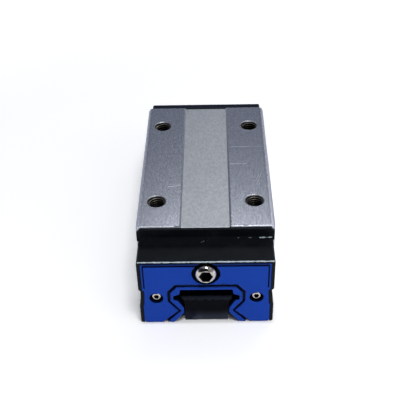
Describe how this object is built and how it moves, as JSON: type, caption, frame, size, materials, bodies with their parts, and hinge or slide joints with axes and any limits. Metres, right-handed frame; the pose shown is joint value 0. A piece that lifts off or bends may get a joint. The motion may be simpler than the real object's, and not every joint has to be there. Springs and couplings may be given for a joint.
{
  "type": "linear guide block",
  "caption": "Long narrow steel carriage of a profile-rail linear guide, with scooped plastic end caps, rail-shaped blue end seals, ball circuits and a plastic mounting rail that slides out.",
  "frame": {"origin": "on the surface that the block stands on, under its centre", "axes": "+Z out of the mounting face, +Y along the rail away from the front end, +X to the right seen from the front"},
  "size_m": [0.048, 0.1062, 0.034],
  "materials": {
    "ground_steel": "ground along its length, lightly scratched",
    "bright_steel": "bright plated",
    "ball_steel": "polished",
    "cap_plastic": "satin moulded",
    "seal_blue": "smooth moulded",
    "bottom_rubber": "matt",
    "inner_plastic": "natural moulded",
    "carrier_plastic": "extruded, satin"
  },
  "bodies": {
    "block": {"carriage_body": "ground_steel", "ceiling_ball_retainer": "inner_plastic", "front_cap_screws": "bright_steel", "front_end_cap": "cap_plastic", "front_end_seal": "seal_blue", "front_grease_plug": "bright_steel", "front_left_return_guide": "inner_plastic", "front_right_return_guide": "inner_plastic", "left_ball_retainer": "inner_plastic", "left_ball_sill": "inner_plastic", "left_bottom_seal": "bottom_rubber", "lower_left_balls": "ball_steel", "lower_right_balls": "ball_steel", "rear_cap_screws": "bright_steel", "rear_end_cap": "cap_plastic", "rear_end_seal": "seal_blue", "rear_grease_plug": "bright_steel", "rear_left_return_guide": "inner_plastic", "rear_right_return_guide": "inner_plastic", "right_ball_retainer": "inner_plastic", "right_ball_sill": "inner_plastic", "right_bottom_seal": "bottom_rubber", "upper_left_balls": "ball_steel", "upper_right_balls": "ball_steel"},
    "carrier": {"mounting_rail": "carrier_plastic"}
  },
  "joints": [
    {"name": "mounting_rail_slide", "type": "slide", "parent": "block", "child": "carrier", "axis": [0, 1, 0], "range_m": [-0.103, 0.103]}
  ]
}
